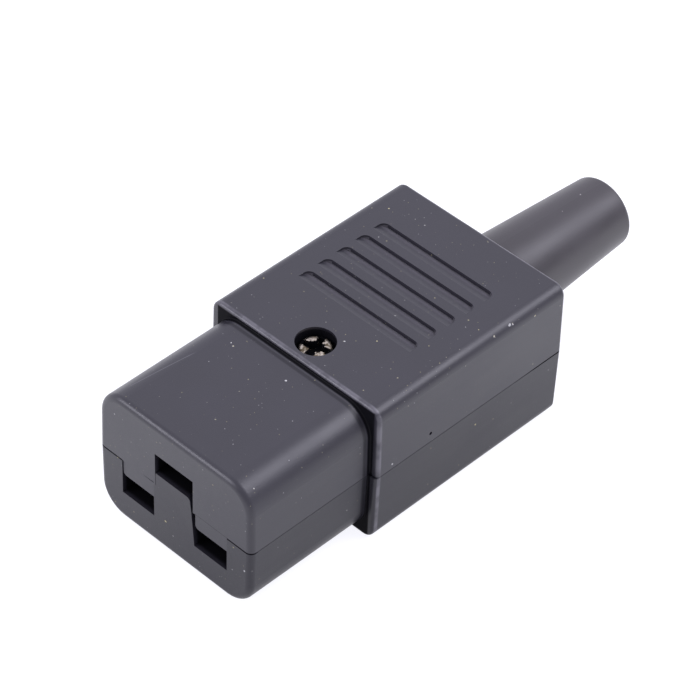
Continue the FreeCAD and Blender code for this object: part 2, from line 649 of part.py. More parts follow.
def make_lower_shell():
    """Lower shell: slot notches, centre tongue, contact seats, nut pocket and cord saddle."""
    body = make_body("lower_shell")
    shell_outside(body, -1, shoulder_x + s.shoulder_step)
    shell_inside(body, -1)
    floor = -body_roof - MARGIN / 2
    nose_floor = -nose_roof - MARGIN / 2

    # open notches for the line and neutral slots
    slot_left = slot_y - slot_half
    slot_right = slot_y + slot_half
    tongue_half = least(earth_slot_half, slot_left)
    tongue_right = tongue_half - s.centre_gap
    cut(body, "neutral_notch", "YZ", -s.face_wall - MARGIN, MARGIN,
        [(slot_left, slot_low), (slot_right, slot_low), (slot_right, MARGIN), (tongue_right, MARGIN),
         (tongue_right, 0)])
    cut(body, "line_notch", "YZ", -s.face_wall - MARGIN, MARGIN,
        rectangle(-slot_right, -slot_left, slot_low, MARGIN))
    # centre tongue: the floor of the earth slot
    add(body, "centre_tongue", "YZ", -s.face_wall, 0,
        [(-tongue_half + s.tongue_gap, -MARGIN), (tongue_right, -MARGIN), (tongue_right, 0),
         (tongue_right - s.tongue_lean, earth_slot_low - s.tongue_round, s.tongue_round),
         (tongue_right - s.tongue_lean - s.tongue_round, earth_slot_low),
         (-tongue_half + s.tongue_gap, earth_slot_low)])
    # twin ribs under the earth contact, beside the other two
    rib_outer = live_inner_y - s.seat_gap
    rib_inner = rib_outer - s.rib * 1.5
    for name, way in (("line", -1), ("neutral", 1)):
        add(body, f"{name}_centre_rib", "XY", nose_floor, earth_seat,
            rectangle(contact_rear, -s.face_wall, *ordered(rib_inner * way, rib_outer * way)))
    # outer ribs and cross ribs that cradle the line and neutral contacts
    for name, way in (("line", -1), ("neutral", 1)):
        outer = live_outer_y + s.seat_gap
        add(body, f"{name}_outer_rib", "XY", nose_floor, live_z + s.sheet,
            rectangle(contact_rear, contact_front - s.rib, *ordered(outer * way, (outer + s.rib) * way)))
        across = ordered(rib_outer * way, outer * way)
        rear_seat = contact_rear + s.rib / 2
        front_seat = contact_rear + s.web_length - s.rib
        add(body, f"{name}_rear_seat", "XY", nose_floor, live_seat,
            rectangle(rear_seat, rear_seat + s.rib, *across))
        add(body, f"{name}_front_seat", "XY", nose_floor, live_seat,
            rectangle(front_seat, front_seat + s.rib, *across))
    # housing screw boss over the nut pocket
    add(body, "nut_boss", "XY", floor, live_seat - s.seat_gap, circle(screw_x, 0, nut_boss_radius))
    add(body, "slim_boss", "XY", live_seat - s.rib, 0, circle(screw_x, 0, s.slim_boss_radius))
    cut(body, "nut_pocket", "XY", -body_top - MARGIN, nut_seat,
        hexagon(screw_x, 0, s.nut_flats + s.nut_play * 2))
    cut(body, "screw_hole", "XY", nut_seat - MARGIN, MARGIN, circle(screw_x, 0, s.screw_hole_radius))
    # seats under the terminal pads, a rib at each end of the pad
    half = s.terminal_pad / 2
    for name, x, way in (("line", live_terminal_x, -1), ("neutral", live_terminal_x, 1)):
        across = ordered((live_terminal_side - half) * way, (cavity_half + MARGIN / 2) * way)
        add_terminal_seat(body, name, x, across, floor)
    add_terminal_seat(body, "earth", earth_terminal_x, (-half, half), floor)
    # partitions between the terminals
    for name, way in (("line", -1), ("neutral", 1)):
        outer = least(live_terminal_side - half, live_outer_y - s.tail_width) - s.seat_gap
        add(body, f"{name}_partition", "XY", floor, live_z + s.rib,
            rectangle(earth_terminal_x + half, screw_x - s.slim_boss_radius,
                      *ordered((outer - s.rib) * way, outer * way)))
    # cord clamp posts with the saddle between them
    saddle_half = s.clamp_width / 4
    add(body, "saddle", "XY", floor, -s.clamp_level,
        rectangle(clamp_x - saddle_half, clamp_x + saddle_half, -clamp_side, clamp_side))
    cut(body, "saddle_hollow", "YZ", clamp_x - saddle_half - MARGIN, clamp_x + saddle_half + MARGIN,
        circle(0, 0, s.cord_radius))
    for name, way in (("line", -1), ("neutral", 1)):
        y = clamp_side * way
        add(body, f"{name}_clamp_post", "XY", floor, clamp_seat, circle(clamp_x, y, s.post_radius))
        cut(body, f"{name}_clamp_hole", "XY", clamp_bar_top - s.clamp_screw_length - MARGIN / 2,
            clamp_seat + MARGIN, circle(clamp_x, y, s.clamp_screw_radius + s.screw_play))
    # sockets for the upper shell's pegs
    for name, way in (("line", -1), ("neutral", 1)):
        cut(body, f"{name}_socket", "XY", -s.peg_length - s.peg_play, MARGIN,
            circle(post_x, post_side * way, s.peg_radius + s.peg_play))
    # the seam stands open beside the slots and gapes towards the rear
    for name, way in (("line", -1), ("neutral", 1)):
        across = ordered(slot_right * way, (nose_half + MARGIN) * way)
        cut(body, f"{name}_face_gap", "XY", -s.face_gap, MARGIN,
            rectangle(-s.face_gap_depth, MARGIN, *across))
    cut(body, "rear_gape", "XZ", -body_half - MARGIN, body_half + MARGIN,
        [(rear_x - MARGIN, -s.rear_gape), (rear_x, -s.rear_gape), (rear_x + s.gape_length, 0),
         (rear_x + s.gape_length, MARGIN), (rear_x - MARGIN, MARGIN)])
    return body


def add_terminal_seat(body, name, x, across, floor):
    """Two ribs that carry a terminal pad and leave its collar free."""
    half = s.terminal_pad / 2
    for end, low in (("rear", x - half), ("front", x + half - s.rib)):
        add(body, f"{name}_terminal_{end}_seat", "XY", floor, live_seat, rectangle(low, low + s.rib, *across))


# ---------------------------------------------------------------------------
# Contacts
# ---------------------------------------------------------------------------
def leaf(middle, way):
    """Side outline of one leaf; way is +1 for the leaf above the pin, -1 for the one below."""
    knee = contact_front - s.grip_back * 2
    sag = (mouth_gap + back_gap) / 4 - grip_gap / 2
    bow = s.grip_back * s.grip_back / (sag * 2) + sag / 2
    mouth = mouth_gap / 2 * way
    back = back_gap / 2 * way
    skin = s.sheet * way
    return [
        (contact_rear, middle + back + skin),
        (knee, middle + back + skin, bow * way),
        (contact_front, middle + mouth + skin),
        (contact_front, middle + mouth, bow * -way),
        (knee, middle + back),
        (contact_rear, middle + back),
    ]


def grip(body, middle, inner, outer, web_outer):
    """The two sprung leaves and the web that joins them."""
    add(body, "lower_leaf", "XZ", inner, outer, leaf(middle, -1))
    height = contact_half_height
    web = ordered(web_outer, web_outer - s.sheet if size(web_outer).value > 0 else web_outer + s.sheet)
    add(body, "web", "XZ", *web,
        rectangle(contact_rear, contact_rear + s.web_length, middle - height, middle + height))
    add(body, "upper_leaf", "XZ", inner, outer, leaf(middle, 1))


def terminal(body, x, y):
    """Square pad with a drawn, tapped collar."""
    half = s.terminal_pad / 2
    add(body, "pad", "XY", live_seat, terminal_top, rectangle(x - half, x + half, y - half, y + half))
    add(body, "collar", "XY", live_seat - s.collar_height, live_seat + s.sheet / 2,
        circle(x, y, s.collar_radius))
    cut(body, "thread", "XY", live_seat - s.collar_height - MARGIN, terminal_top + MARGIN,
        circle(x, y, s.terminal_screw_radius + s.screw_play))


def make_live_contact(name, way):
    """Line (way -1) or neutral (way +1) contact: grip, straight tail and terminal."""
    body = make_body(name)
    inner, outer = ordered(live_inner_y * way, live_outer_y * way)
    grip(body, live_z, inner, outer, live_outer_y * way)
    tail = ordered((live_outer_y - s.tail_width) * way, live_outer_y * way)
    add(body, "tail", "XY", live_seat, terminal_top,
        rectangle(live_terminal_x, contact_rear + s.sheet, *tail))
    terminal(body, live_terminal_x, live_terminal_side * way)
    return body


def make_earth_contact():
    """Earth contact: its tail has an eye round the boss and drops to its terminal."""
    body = make_body("earth_contact")
    grip(body, earth_z, earth_inner_y, earth_outer_y, earth_outer_y)
    front = contact_rear + s.sheet
    face = earth_terminal_x + s.terminal_pad / 2 + s.bend_radius + s.sheet
    back = face - s.sheet
    tight = s.bend_radius
    wide = s.bend_radius + s.sheet
    top = earth_seat + s.sheet
    half = s.tail_width / 2
    add(body, "tail", "XZ", -half, half,
        [(front, earth_seat), (face + tight, earth_seat, tight), (face, earth_seat - tight),
         (face, live_seat + wide, -wide), (face - wide, live_seat), (earth_terminal_x, live_seat),
         (earth_terminal_x, terminal_top), (back - tight, terminal_top, tight),
         (back, terminal_top + tight), (back, top - wide, -wide), (back + wide, top), (front, top)])
    eye = s.slim_boss_radius + s.eye_play
    add(body, "eye", "XY", earth_seat, top, circle(screw_x, 0, eye + s.eye_rim))
    cut(body, "eye_hole", "XY", earth_seat - MARGIN, top + MARGIN, circle(screw_x, 0, eye))
    terminal(body, earth_terminal_x, 0)
    return body


# ---------------------------------------------------------------------------
# Fasteners and clamps
# ---------------------------------------------------------------------------
def place(body, x, y, z):
    """Move a finished body and tie its place to the sheet."""
    for axis, value in (("x", x), ("y", y), ("z", z)):
        body.setExpression(f"Placement.Base.{axis}", size(value).text)
    doc.recompute()


def make_screw(name, shank, head, height, crown, length):
    """Pan-head screw with a cross recess, its seat at z = 0."""
    body = make_body(name)
    lead = shank / 4
    turn(body, "turned",
         [(0, -length), (shank - lead, -length), (shank, -length + lead), (shank, 0), (head, 0),
          (head, height - crown, crown), (head - crown, height), (0, height)], "Z_Axis")
    arm = s.recess_width / 2
    reach = s.recess_span / 2
    foot = arm + s.recess_web
    cut(body, "recess", "XY", height - s.recess_depth, height + MARGIN,
        [(arm, -reach), (arm, -foot), (foot, -arm), (reach, -arm), (reach, arm), (foot, arm), (arm, foot),
         (arm, reach), (-arm, reach), (-arm, foot), (-foot, arm), (-reach, arm), (-reach, -arm),
         (-foot, -arm), (-arm, -foot), (-arm, -reach)])
    return body


def make_nut():
    """Hexagon nut with its corners turned back at both ends."""
    body = make_body("housing_nut")
    add(body, "hexagon", "XY", 0, s.nut_thick, hexagon(0, 0, s.nut_flats))
    inner = s.nut_flats / 2
    outer = s.nut_flats / math.sqrt(3) + s.nut_play
    drop = (outer - inner) * math.tan(math.radians(30))
    for end, level, way in (("lower", size(0), 1), ("upper", s.nut_thick, -1)):
        before = body.Tip.Shape.Volume
        sketch = make_sketch(body, f"{end}_corners", "XZ", 0,
                             [[(inner, level), (outer, level), (outer, level + drop * way)]])
        feature = body.newObject("PartDesign::Groove", f"{end}_corners")
        feature.Profile = sketch
        feature.ReferenceAxis = (origin_feature(body, "Z_Axis"), [""])
        feature.Angle = 360
        settle(body, before, f"{end}_corners")
    cut(body, "thread", "XY", -MARGIN, s.nut_thick + MARGIN, circle(0, 0, s.screw_radius + s.screw_play))
    return body


def make_clamp_plate(name):
    """Square wire clamp plate with two edges turned down, standing on z = 0."""
    body = make_body(name)
    half = s.plate_side / 2
    top = s.plate_cup + s.plate_thick
    inner = half - s.plate_thick
    add(body, "plate", "YZ", -half, half,
        [(-half, 0), (-inner, 0), (-inner, s.plate_cup), (inner, s.plate_cup), (inner, 0), (half, 0),
         (half, top - s.plate_cup, s.plate_cup), (half - s.plate_cup, top),
         (-half + s.plate_cup, top, s.plate_cup), (-half, top - s.plate_cup)])
    cut(body, "hole", "XY", -MARGIN, top + MARGIN,
        circle(0, 0, s.terminal_screw_radius + s.screw_play * 4))
    return body


def make_cord_clamp():
    """Clamp bar over the cord: arched underneath, round at its ends."""
    body = make_body("cord_clamp")
    half = s.clamp_width / 2
    reach = clamp_side + s.clamp_overhang
    span = s.cord_radius
    bow = (span * span) / (s.clamp_arch * 2) + s.clamp_arch / 2
    add(body, "bar", "YZ", clamp_x - half, clamp_x + half,
        [(-reach, clamp_seat), (-span, clamp_seat, -bow), (span, clamp_seat), (reach, clamp_seat),
         (reach, clamp_bar_top), (-reach, clamp_bar_top)])

    def corner(box):
        return box.ZLength > 1.0 and near(max(abs(box.YMin), abs(box.YMax)), reach) and box.XLength < 0.05

    dress(body, "Fillet", "ends", half - s.rib, corner)
    for name, way in (("line", -1), ("neutral", 1)):
        cut(body, f"{name}_hole", "XY", clamp_seat - MARGIN, clamp_bar_top + MARGIN,
            circle(clamp_x, clamp_side * way, s.clamp_screw_radius + s.screw_play * 4))
    return body


def make_boot():
    """Rubber boot: cone behind the rear wall, neck in its opening, flange inside."""
    body = make_body("boot")
    flange_rear = cavity_rear + s.neck_play
    flange_face = flange_rear + s.flange_thick
    heel = rear_x - s.seat_gap
    end = rear_x - s.boot_length
    root = s.cord_radius + s.boot_root_wall
    tip = s.cord_radius + s.boot_end_wall
    turn(body, "cone",
         [(flange_face, s.cord_radius), (flange_face, flange_radius), (flange_rear, flange_radius),
          (flange_rear, neck_radius), (heel, neck_radius), (heel, root),
          (end + s.boot_end_round, tip, s.boot_end_round), (end, tip - s.boot_end_round),
          (end, s.cord_radius)], "X_Axis")
    return body


# ---------------------------------------------------------------------------
# Assembly and export
# ---------------------------------------------------------------------------
def make_parts():
    """Build every piece in its place."""
    parts = [make_upper_shell(), make_lower_shell(), make_boot()]
    parts.append(make_live_contact("line_contact", -1))
    parts.append(make_live_contact("neutral_contact", 1))
    parts.append(make_earth_contact())

    terminals = (
        ("line", live_terminal_x, -live_terminal_side),
        ("neutral", live_terminal_x, live_terminal_side),
        ("earth", earth_terminal_x, size(0)),
    )
    plate_height = s.plate_cup + s.plate_thick
    shank = s.sheet + s.collar_height + plate_height + s.terminal_tip
    for name, x, y in terminals:
        plate = make_clamp_plate(f"{name}_wire_clamp")
        place(plate, x, y, terminal_top)
        screw = make_screw(f"{name}_terminal_screw", s.terminal_screw_radius, s.terminal_head_radius,
                           s.terminal_head_height, s.head_crown, shank)
        place(screw, x, y, terminal_top + plate_height)
        parts += [plate, screw]

    nut = make_nut()
    place(nut, screw_x, 0, nut_seat - s.nut_thick)
    length = head_seat - nut_seat + s.nut_thick - s.tip_short
    screw = make_screw("housing_screw", s.screw_radius, s.head_radius, s.head_height, s.head_crown, length)
    screw.Placement = FreeCAD.Placement(
        FreeCAD.Vector(0, 0, 0), FreeCAD.Rotation(FreeCAD.Vector(0, 0, 1), CROSS_TURN))
    place(screw, screw_x, 0, head_seat)
    parts += [nut, screw]

    parts.append(make_cord_clamp())
    for name, way in (("line", -1), ("neutral", 1)):
        screw = make_screw(f"{name}_side_clamp_screw", s.clamp_screw_radius, s.clamp_head_radius,
                           s.clamp_head_height, s.head_crown, s.clamp_screw_length)
        place(screw, clamp_x, clamp_side * way, clamp_bar_top)
        parts.append(screw)
    return parts


def check(parts):
    """Stop on any failed object or bad solid."""
    for item in doc.Objects:
        if "Invalid" in item.State or "Error" in item.State:
            raise RuntimeError(f"{item.Name} failed to build")
    for body in parts:
        if body.Shape.isNull() or not body.Shape.isValid() or len(body.Shape.Solids) != 1:
            raise RuntimeError(f"{body.Label} is not one valid solid")


def export(parts):
    """Write each piece to its own file."""
    os.makedirs("parts", exist_ok=True)
    for body in parts:
        body.Shape.exportStep(f"parts/{body.Label}.step")


pieces = make_parts()
doc.recompute()
check(pieces)
export(pieces)
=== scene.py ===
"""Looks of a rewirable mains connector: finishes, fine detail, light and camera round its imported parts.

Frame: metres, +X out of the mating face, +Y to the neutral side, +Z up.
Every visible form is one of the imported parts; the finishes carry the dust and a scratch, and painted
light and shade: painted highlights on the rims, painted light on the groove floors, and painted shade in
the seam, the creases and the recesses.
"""

import math

import bpy
from mathutils import Matrix, Vector


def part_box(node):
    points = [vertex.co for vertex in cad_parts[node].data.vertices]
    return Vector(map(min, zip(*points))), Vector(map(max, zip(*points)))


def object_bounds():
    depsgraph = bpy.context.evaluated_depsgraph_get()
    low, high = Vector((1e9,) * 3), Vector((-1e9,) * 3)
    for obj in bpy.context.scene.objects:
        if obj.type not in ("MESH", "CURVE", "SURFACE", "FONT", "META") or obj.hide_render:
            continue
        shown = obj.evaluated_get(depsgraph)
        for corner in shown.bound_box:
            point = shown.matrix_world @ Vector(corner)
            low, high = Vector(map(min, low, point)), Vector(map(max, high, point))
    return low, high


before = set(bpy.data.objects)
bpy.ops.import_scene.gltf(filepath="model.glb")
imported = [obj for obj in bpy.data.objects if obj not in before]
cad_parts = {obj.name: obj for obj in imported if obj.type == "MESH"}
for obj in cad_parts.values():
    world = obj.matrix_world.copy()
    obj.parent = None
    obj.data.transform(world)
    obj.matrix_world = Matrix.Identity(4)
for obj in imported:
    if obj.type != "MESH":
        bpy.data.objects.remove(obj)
cad_low, cad_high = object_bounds()

MM = 0.001

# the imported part's own faces in millimetres, by which the marks on it are placed
FACE_X = 0.0
SHOULDER_X = -21.0
REAR_X = -56.0
NOSE_SIDE = 13.9
NOSE_TOP = 10.4
NOSE_CORNER = 21.6  # side and height added up, inside the nose's rounded long edges
BODY_SIDE = 15.25
BODY_TOP = 11.15
SLOT_OUTER = 9.6
SLOT_INNER = 3.8
# grip grooves: the wall of one groove, the way to the next, and the outermost walls and ends
GROOVE_X = -34.1
GROOVE_PITCH = 3.5
GROOVE_SPAN = (-49.0, -31.9)
GROOVE_END = 12.1
GROOVE_FLOOR = 2.0  # how far a floor runs forward before it meets the top face
# the housing screw's axis
screw_low, screw_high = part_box("housing_screw")
screw_axis = (screw_low + screw_high) / 2 / MM
COUNTERBORE = 3.0
CROSS_TURN = 17.0  # degrees

BLACK_TONE = (0.0195, 0.0185, 0.0260)
# dust on the shells: cell and share of cells that hold a speck, radius in millimetres, and how pale it is
DUST = [(2.2, 0.24, 0.11, 1.0), (1.2, 0.26, 0.085, 0.5), (0.6, 0.40, 0.06, 0.3)]
# single pale flecks on the shells: place and radius in millimetres
FLECKS = [
    ((-36.4, 3.0, 11.15), 0.22), ((-37.2, 2.2, 11.15), 0.16), ((-35.8, 3.6, 11.15), 0.15),
    ((-27.5, 2.5, 11.15), 0.14), ((-17.4, -7.8, 10.4), 0.13), ((-17.2, -7.2, 10.4), 0.10),
    ((-45.6, 14.6, 10.6), 0.24), ((-46.1, 14.7, 10.5), 0.16), ((-42.6, 14.7, 10.5), 0.18),
    ((-50.1, 15.1, 9.7), 0.14), ((0.0, -1.6, -5.2), 0.20), ((-6.2, 1.0, 10.4), 0.12),
]
# the long fine scratch on top of the nose: its two ends and half its width
SCRATCH = ((-2.1, -11.09), (-13.3, -9.6), 0.07)

# sky: a direction, where along it the sky starts and stops to brighten, and the strength there
SKY = [
    ((0.0, 0.0, 1.0), 0.00, 0.90, 0.70, 0.95),
    ((-0.73, -0.68, 0.0), 0.05, 0.60, 0.0, 0.36),
]
LIGHT_TINT = (0.97, 0.96, 1.08, 1.0)
# soft lamps: name, place and aim in metres, width and depth, power in watts
LAMPS = [
    ("rear_right", (-0.46, 0.34, 0.63), (-0.03, 0.0, 0.0), (0.50, 0.50), 3.6),
    ("front_left", (0.63, -0.45, 0.42), (-0.03, 0.0, 0.0), (0.45, 0.45), 3.6),
]
FLOOR_HALF = 1.5
FLOOR_GAP = 0.02 * MM  # keeps the floor off the resting face, so that the two don't flicker
FLOOR_TINT = (1.0, 1.0, 1.06, 1.0)
FLOOR_LIFT = 0.70  # how much of the floor's white is even, so how faint the shadow is
FLOOR_WHITE = 1.24

CAMERA_AIM = (-36.03, -4.37, -0.40)
CAMERA_AZIMUTH, CAMERA_ELEVATION, CAMERA_ROLL = 132.961, 42.695, -2.346
CAMERA_DISTANCE = 429.1
CAMERA_LENS, CAMERA_SENSOR = 166.6, 36.0


# ---------------------------------------------------------------------------
# Shader maths: sockets as numbers in Python expressions
# ---------------------------------------------------------------------------
class Term:
    """One output socket in a node tree; arithmetic on it adds Math nodes."""

    def __init__(self, nodes, socket):
        self.nodes = nodes
        self.socket = socket

    def math(self, operation, *others):
        """Math node of this term and others."""
        return self.nodes.node("ShaderNodeMath", {"operation": operation}, [self, *others])

    def __add__(self, other):
        return self.math("ADD", other)

    __radd__ = __add__

    def __sub__(self, other):
        return self.math("SUBTRACT", other)

    def __rsub__(self, other):
        return self.nodes.node("ShaderNodeMath", {"operation": "SUBTRACT"}, [other, self])

    def __mul__(self, other):
        return self.math("MULTIPLY", other)

    __rmul__ = __mul__

    def size(self):
        """The term without its sign."""
        return self.math("ABSOLUTE")

    def greater_of(self, other):
        """The greater of two terms."""
        return self.math("MAXIMUM", other)

    def at_most(self, limit):
        """The term, or the limit where it is past that."""
        return self.math("MINIMUM", limit)

    def over(self, low, high):
        """Smooth step: 0 below low, 1 above high, and the reverse where low is the larger."""
        if low < high:
            return self.step(low, high, 0.0, 1.0)
        return self.step(high, low, 1.0, 0.0)

    def step(self, low, high, first, last):
        """Smooth step from first to last as the term goes from low to high."""
        settings = {"interpolation_type": "SMOOTHSTEP"}
        return self.nodes.node("ShaderNodeMapRange", settings, {
            "Value": self, "From Min": low, "From Max": high, "To Min": first, "To Max": last})

    def part(self, name):
        """Another output of the same node."""
        return Term(self.nodes, self.socket.node.outputs[name])


class Nodes:
    """A node tree being written, a material's or the world's."""

    def __init__(self, tree):
        self.tree = tree

    def node(self, kind, settings, values, output=0):
        """Any node: its type, its settings, then the values or links of its sockets."""
        node = self.tree.nodes.new(kind)
        for name, value in settings.items():
            setattr(node, name, value)
        pairs = values.items() if isinstance(values, dict) else enumerate(values)
        for socket, value in pairs:
            if isinstance(value, Term):
                self.tree.links.new(value.socket, node.inputs[socket])
            else:
                node.inputs[socket].default_value = value
        return Term(self, node.outputs[output])


class Finish(Nodes):
    """A material being written: its tree, its shader and its place coordinates in millimetres."""

    def __init__(self, name, **constants):
        self.material = bpy.data.materials.new(name)
        self.material.use_nodes = True
        super().__init__(self.material.node_tree)
        self.tree.nodes.clear()
        self.shader = self.tree.nodes.new("ShaderNodeBsdfPrincipled")
        self.surface = self.tree.nodes.new("ShaderNodeOutputMaterial").inputs["Surface"]
        self.tree.links.new(self.shader.outputs["BSDF"], self.surface)
        for socket, value in constants.items():
            self.shader.inputs[socket.replace("_", " ")].default_value = value

    def place(self, stretch=(1.0, 1.0, 1.0)):
        """Object coordinates in millimetres, stretched along the axes."""
        place = self.node("ShaderNodeTexCoord", {}, {}, "Object")
        scale = [factor / MM for factor in stretch]
        return self.node("ShaderNodeVectorMath", {"operation": "MULTIPLY"}, [place, scale])

    def noise(self, scale, detail=2.0, stretch=(1.0, 1.0, 1.0)):
        """Soft noise, scale in waves per millimetre."""
        return self.node("ShaderNodeTexNoise", {}, {
            "Vector": self.place(stretch), "Scale": scale, "Detail": detail})

    def axes(self):
        """Object coordinates in millimetres, split into X, Y and Z."""
        return self.node("ShaderNodeSeparateXYZ", {}, [self.place()])

    def lift(self, factor, colour, strength):
        """Mixes an even glow over the shader by a factor."""
        self.cover(factor, self.node("ShaderNodeEmission", {}, [colour, strength]))

    def darken(self, factor):
        """Mixes a dull black over the shader by a factor, as painted shade."""
        black = {"Base Color": rgb(0.004, 0.004, 0.005), "Roughness": 0.8, "Specular IOR Level": 0.0}
        self.cover(factor, self.node("ShaderNodeBsdfPrincipled", {}, black))

    def cover(self, factor, over):
        """Mixes another shader over this finish's own by a factor."""
        shader = Term(self, self.shader.outputs["BSDF"])
        both = self.node("ShaderNodeMixShader", {}, [factor, shader, over])
        self.tree.links.new(both.socket, self.surface)

    def mix(self, factor, first, second):
        """Colour mix; first where the factor is 0."""
        return self.node("ShaderNodeMix", {"data_type": "RGBA"}, {
            0: factor, 6: first, 7: second}, 2)

    def bump(self, height, distance, under=None):
        """Bump of a height, on top of another bump where one is given; distance in metres."""
        values = {"Height": height, "Distance": distance}
        if under:
            values["Normal"] = under
        return self.node("ShaderNodeBump", {}, values)

    def feed(self, **sockets):
        """Links terms to the shader's sockets."""
        for socket, term in sockets.items():
            self.tree.links.new(term.socket, self.shader.inputs[socket.replace("_", " ")])


def rgb(red, green, blue):
    """A colour with full alpha."""
    return (red, green, blue, 1.0)


# ---------------------------------------------------------------------------
# Marks on the finishes, as masks from 0 to 1
# ---------------------------------------------------------------------------
def dust_specks(finish, cell, share, radius):
    """Mask of loose specks: in a share of the cells, one dot of about the radius, all in millimetres."""
    cells = finish.node("ShaderNodeTexVoronoi", {}, {"Vector": finish.place(), "Scale": 1.0 / cell})
    random = finish.node("ShaderNodeSeparateColor", {}, [cells.part("Color")])
    size = radius / cell * (0.5 + random.part("Green"))
    inside = (size - cells) * (8.0 * cell / radius)
    chosen = random.part("Red").math("LESS_THAN", share)
    return inside.at_most(1.0).greater_of(0.0) * chosen


def line_mark(finish, start, end, half_width):
    """Mask of a thin straight scratch on top of the nose, between two places in millimetres."""
    place = finish.axes()
    fade = 1.5
    along = (end[0] - start[0], end[1] - start[1])
    length = math.hypot(*along)
    unit = (along[0] / length, along[1] / length)
    from_x = place.part("X") - start[0]
    from_y = place.part("Y") - start[1]
    way = from_x * unit[0] + from_y * unit[1]
    off = (from_x * unit[1] - from_y * unit[0]).size()
    ends = way.over(0.0, fade) * way.over(length, length - fade)
    on_top = place.part("Z").math("GREATER_THAN", NOSE_TOP - 0.4)
    return off.over(half_width, half_width * 0.3) * ends * on_top


def lint_flecks(finish, flecks):
    """Mask of single pale flecks: place in millimetres and radius of each."""
    place = finish.place()
    ragged = finish.noise(6.0, 1.0).step(0.3, 0.7, -0.07, 0.09)
    total = None
    for centre, radius in flecks:
        away = finish.node("ShaderNodeVectorMath", {"operation": "DISTANCE"}, [place, centre], "Value")
        dot = (away + ragged).over(radius, radius * 0.4)
        total = dot if total is None else total.greater_of(dot)
    return total


def unlit_places(finish):
    """Mask of what light doesn't reach: the shells' inside, the seam, the nose's root, the counterbore."""
    place = finish.axes()
    masks = [shell_inside(place), seam_shade(place), root_shadow(place), screw_shadow(place)]
    total = masks[0]
    for mask in masks[1:]:
        total = total.greater_of(mask)
    return total.at_most(1.0)


def shell_inside(place):
    """Mask of painted shade on the shells' inner walls, short of the mating face, the rear wall and the
    nose's outside.
    """
    along = place.part("X")
    height, side = place.part("Z").size(), place.part("Y").size()
    ends = along.over(FACE_X - 0.15, FACE_X - 0.9) * along.over(REAR_X + 0.2, REAR_X + 0.8)
    walls = side.over(NOSE_SIDE - 0.7, NOSE_SIDE - 1.3)
    walls = walls * height.over(NOSE_TOP - 0.6, NOSE_TOP - 1.2)
    return ends * walls * (side + height).over(NOSE_CORNER, NOSE_CORNER - 0.8)


def seam_shade(place):
    """Mask of painted shade in the seam: most beside the slots and at the rear, least along the sides."""
    along = place.part("X")
    height, side = place.part("Z").size(), place.part("Y").size()
    at_face = along.over(FACE_X - 1.0, FACE_X - 0.2)
    beside_slots = at_face * side.over(SLOT_OUTER - 0.1, SLOT_OUTER + 0.1)
    tongue = at_face * place.part("Y").over(SLOT_INNER - 0.1, SLOT_INNER + 0.1) * 0.5
    rear = along.over(REAR_X + 10.0, REAR_X + 2.0) * 0.8
    sides = side.over(NOSE_SIDE - 1.4, NOSE_SIDE - 0.9) * 0.25
    return height.over(0.16, 0.06) * (beside_slots.greater_of(tongue) + rear + sides)


def root_shadow(place):
    """Mask of the unlit crease round the root of the nose, with a fainter band just ahead of it."""
    along, across = place.part("X"), place.part("Y")
    near = place.part("Z").size().over(NOSE_TOP + 0.46, NOSE_TOP + 0.18)
    near = near * across.over(NOSE_SIDE + 0.55, NOSE_SIDE + 0.25)
    near = near * across.over(-NOSE_SIDE - 0.2, -NOSE_SIDE)
    ahead = along - SHOULDER_X
    crease = ahead.over(0.60, 0.38) * ahead.over(-0.5, -0.2)
    band = ahead.over(1.45, 1.15) * ahead.over(0.65, 0.9)
    return (crease * 0.9 + band * 0.35) * near


def screw_shadow(place):
    """Mask of the unlit wall of the screw's counterbore."""
    from_x, from_y = place.part("X") - screw_axis.x, place.part("Y") - screw_axis.y
    height = place.part("Z")
    radius = (from_x * from_x + from_y * from_y).math("SQRT")
    deep = height.over(BODY_TOP - 0.15, BODY_TOP - 0.55) * height.over(4.0, 5.0)
    return radius.over(COUNTERBORE + 0.1, COUNTERBORE - 0.1) * deep * 0.85


def groove_floor_light(finish):
    """Mask of painted light on the sloping floors of the grip grooves, strongest in the deep end."""
    place = finish.axes()
    along, height = place.part("X"), place.part("Z")
    # the way forward from a groove's wall, counted from far behind the part, so that it is never negative
    first_wall = GROOVE_X - 10 * GROOVE_PITCH + 0.03
    ahead = ((along - first_wall) * (1.0 / GROOVE_PITCH)).math("FRACT") * GROOVE_PITCH
    rearmost, foremost = GROOVE_SPAN
    within = along.over(foremost + 0.1, foremost - 0.1) * along.over(rearmost - 0.2, rearmost + 0.1)
    within = within * place.part("Y").size().over(GROOVE_END + 0.1, GROOVE_END - 0.1)
    within = within * height.over(BODY_TOP - 0.95, BODY_TOP - 0.85)
    deep_end = ahead.over(GROOVE_FLOOR * 0.65, 0.05)
    return deep_end * height.over(BODY_TOP - 0.17, BODY_TOP - 0.37) * within


def rim_highlights(finish):
    """Mask of painted highlights along the thin rims round the grip body's front and rear, patchy."""
    place = finish.axes()
    along = place.part("X")
    high, wide = place.part("Z").size(), place.part("Y").size()
    outer = high.over(BODY_TOP - 0.65, BODY_TOP - 0.25)
    outer = outer.greater_of(wide.over(BODY_SIDE - 0.85, BODY_SIDE - 0.35))
    ahead = along - SHOULDER_X
    front = ahead.over(-0.75, -0.5) * ahead.over(0.1, -0.1)
    rear = along.over(REAR_X + 0.5, REAR_X + 0.3)
    patchy = finish.noise(0.5, 3.0).over(0.30, 0.62)
    return (front * outer + rear * outer).at_most(1.0) * (patchy * 0.7 + 0.3)


